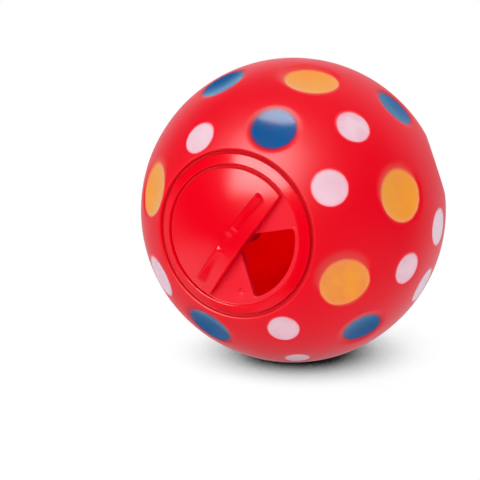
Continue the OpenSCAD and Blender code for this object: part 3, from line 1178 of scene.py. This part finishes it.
def zinc():
    """Zinc-plated steel of the screw and its washer."""
    n = Nodes(bpy.data.materials.new("zinc_steel"))
    patch = n.noise(n.where(), ZINC_GRAIN, 4.0, 0.6)
    colour = n.mix(n.ramp(patch, *ZINC_TONE_RANGE), ZINC_DULL, ZINC_BRIGHT)
    rough = n.ramp(patch, *ZINC_ROUGH_RANGE, *ZINC_ROUGH)
    n.principled(Base_Color=colour, Roughness=rough, Metallic=1.0)
    return n.owner


# Floor, light and camera

FLOOR_HALF = 1.5
FLOOR_TONE = 0.92
FLOOR_FADE = (0.22, 0.40)
# The shadow is where the sky round this direction is hidden: from all dark to all light
SHADOW_LEAN = (-0.013, -0.318, 1.0)
SHADOW_REACH = 1.0
SHADOW_SAMPLES = 16
SHADOW_FROM = 0.185
SHADOW_TO = 0.536
SHADOW_POWER = 0.65

# Soft lobes of light in the room: azimuth, elevation, the cosines from and to which a lobe
# rises, and its strength. Reflections see the first room, which is slightly cool; matt surfaces
# see the second, whose first lobe is the same all round.
ROOM_GLOSS = (
    (180, 0, 0.35, 0.93, 0.52),
    (180, -60, 0.4, 0.95, 0.40),
    (180, 45, 0.6, 0.95, 0.14),
    (-135, 0, 0.75, 0.97, 0.50),
    (-82, -22, 0.8, 0.97, 0.35),
    (80, -35, 0.75, 0.97, 0.25),
    (-15, -45, 0.9, 0.99, 0.5),
    (-47, -32, 0.93, 0.99, 0.8),
)
ROOM_FILL = (
    (0, 90, -3.0, -2.0, 0.62),
    (5, -5, 0.3, 1.0, 0.45),
    (180, 0, 0.3, 1.0, 0.6),
    (0, 90, 0.3, 1.0, 0.45),
)
COOL = (0.6, 0.96, 1.04)
WHITE = (1, 1, 1)

# Softboxes a metre from the ball: azimuth, elevation, width, height, watts, and whether matt
# surfaces see them too
SOFTBOXES = {
    "key": (-5, 36, 0.60, 0.86, 1.8, True),
    "key_sheen": (-2, 44, 0.82, 0.62, 12.0, False),
    "key_sheen_low": (-11, 18, 0.50, 0.28, 3.3, False),
}

# The photograph's view: its angles, its distance and where the ball's centre falls
CENTRE = Vector((0, 0, STAND_H * MM))
PHOTO_SIZE = 480
VIEW_TURN = 24.2
VIEW_TILT = 10.74
VIEW_FAR = 8 * BALL_R * MM
FOCAL_PX = 1208.0
BALL_PX = (292.6, 210.5)
SENSOR = 36
CLIP_NEAR = 0.01
CLIP_FAR = 20


def shadow(n):
    """Light of the floor: dark where little of the sky round the lean can be seen."""
    lean = n.make("ShaderNodeVectorMath", {0: SHADOW_LEAN}, operation="NORMALIZE").outputs[0]
    inputs = {"Distance": SHADOW_REACH, "Normal": lean}
    sky = n.make("ShaderNodeAmbientOcclusion", inputs, samples=SHADOW_SAMPLES).outputs["AO"]
    span = n.minus(sky, SHADOW_FROM)
    span = n.math("DIVIDE", span, SHADOW_TO - SHADOW_FROM, clamp=True)
    strength = n.math("POWER", span, SHADOW_POWER)
    return n.make("ShaderNodeEmission", {"Strength": strength}).outputs[0]


def floor_finish():
    """The shadow on white for the camera, clear further out and for reflections, and pale for
    all other light."""
    n = Nodes(bpy.data.materials.new("pale_floor"))
    length = n.make("ShaderNodeVectorMath", {0: n.where()}, operation="LENGTH").outputs["Value"]
    path = n.make("ShaderNodeLightPath").outputs
    pale = n.make("ShaderNodeBsdfDiffuse", {"Color": [FLOOR_TONE] * 3}).outputs[0]
    clear = n.make("ShaderNodeBsdfTransparent").outputs[0]
    seen = n.blend(n.ramp(length, *FLOOR_FADE), shadow(n), clear)
    other = n.blend(path["Is Glossy Ray"], pale, clear)
    n.link(n.blend(path["Is Camera Ray"], other, seen), n.out.inputs["Surface"])
    return n.owner


def floor():
    """A pale floor that keeps the shadow and fades into the white background."""
    h = FLOOR_HALF
    mesh = bpy.data.meshes.new("floor")
    mesh.from_pydata([(-h, -h, 0), (h, -h, 0), (h, h, 0), (-h, h, 0)], [], [(0, 1, 2, 3)])
    mesh.materials.append(floor_finish())
    piece = bpy.data.objects.new("floor", mesh)
    bpy.context.scene.collection.objects.link(piece)


def towards(azimuth, elevation):
    """Direction from the ball; azimuth 0 faces the insert, 90 is to its right."""
    a, e = math.radians(azimuth), math.radians(elevation)
    return Vector((math.sin(a) * math.cos(e), -math.cos(a) * math.cos(e), math.sin(e)))


def room_light(n, coords, lobes):
    """Sum of soft lobes of light over the directions."""
    total = None
    for azimuth, elevation, start, end, strength in lobes:
        ways = {0: coords, 1: towards(azimuth, elevation)}
        dot = n.make("ShaderNodeVectorMath", ways, operation="DOT_PRODUCT").outputs["Value"]
        lobe = n.ramp(dot, start, end, 0.0, strength)
        total = lobe if total is None else n.plus(total, lobe)
    return total


def background(n, colour, strength=1.0):
    """A world of one colour, whose strength may change with the direction."""
    inputs = {"Color": colour, "Strength": strength}
    return n.make("ShaderNodeBackground", inputs).outputs[0]


def world():
    """White for the camera, with a room of its own for reflections and for matt surfaces."""
    w = bpy.data.worlds.new("studio")
    bpy.context.scene.world = w
    n = Nodes(w, "ShaderNodeOutputWorld")
    coords = n.make("ShaderNodeTexCoord").outputs["Generated"]
    path = n.make("ShaderNodeLightPath").outputs
    matt = background(n, WHITE, room_light(n, coords, ROOM_FILL))
    gloss = background(n, COOL, room_light(n, coords, ROOM_GLOSS))
    room = n.blend(path["Is Glossy Ray"], matt, gloss)
    seen = n.blend(path["Is Camera Ray"], room, background(n, WHITE))
    n.link(seen, n.out.inputs["Surface"])
    w.cycles.sampling_method = "NONE"


def camera():
    """Takes the photograph's view: the ball's centre falls at its own place in the frame."""
    data = bpy.data.cameras.new("camera")
    data.sensor_width = SENSOR
    data.lens = FOCAL_PX / PHOTO_SIZE * SENSOR
    data.clip_start, data.clip_end = CLIP_NEAR, CLIP_FAR
    piece = bpy.data.objects.new("camera", data)
    bpy.context.scene.collection.objects.link(piece)
    out = towards(VIEW_TURN, VIEW_TILT)
    to_ball = out.to_track_quat("Z", "Y").to_matrix()
    right = math.atan((BALL_PX[0] - PHOTO_SIZE / 2) / FOCAL_PX)
    up = math.atan((PHOTO_SIZE / 2 - BALL_PX[1]) / FOCAL_PX)
    turn = to_ball @ Matrix.Rotation(-up, 3, "X") @ Matrix.Rotation(right, 3, "Y")
    piece.matrix_world = Matrix.Translation(CENTRE + out * VIEW_FAR) @ turn.to_4x4()
    bpy.context.scene.camera = piece


def lights():
    """Softboxes a metre away, all turned to the ball."""
    for name, (azimuth, elevation, wide, high, watts, matt) in SOFTBOXES.items():
        light = bpy.data.lights.new(name, "AREA")
        light.shape = "RECTANGLE"
        light.size, light.size_y = wide, high
        light.energy = watts
        piece = bpy.data.objects.new(name, light)
        bpy.context.scene.collection.objects.link(piece)
        out = towards(azimuth, elevation)
        piece.location = CENTRE + out
        piece.rotation_euler = out.to_track_quat("Z", "Y").to_euler()
        piece.visible_diffuse = matt


def dress():
    """Makes every piece, gives it its body and hides the node that it stands for."""
    red = plastic()
    steel = zinc()
    skin = ball_skin(vinyl("vinyl_outside", True), vinyl("vinyl_inside", False))
    pieces = (
        (skin, "ball", "ball_shell", "vinyl"),
        (cap_body(red), "insert", "cap_housing", "insert_plastic"),
        (dial_cover(red), "shutter", "dial", "insert_plastic"),
    )
    for piece, body, node, slot in pieces:
        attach(piece, body)
        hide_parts(node)
    for node in ("pivot_screw", "pivot_washer"):
        mesh = frame["nodes"][node].data
        mesh.materials.clear()
        mesh.materials.append(steel)


dress()
floor()
world()
lights()
camera()
bpy.context.scene.view_settings.view_transform = "Standard"
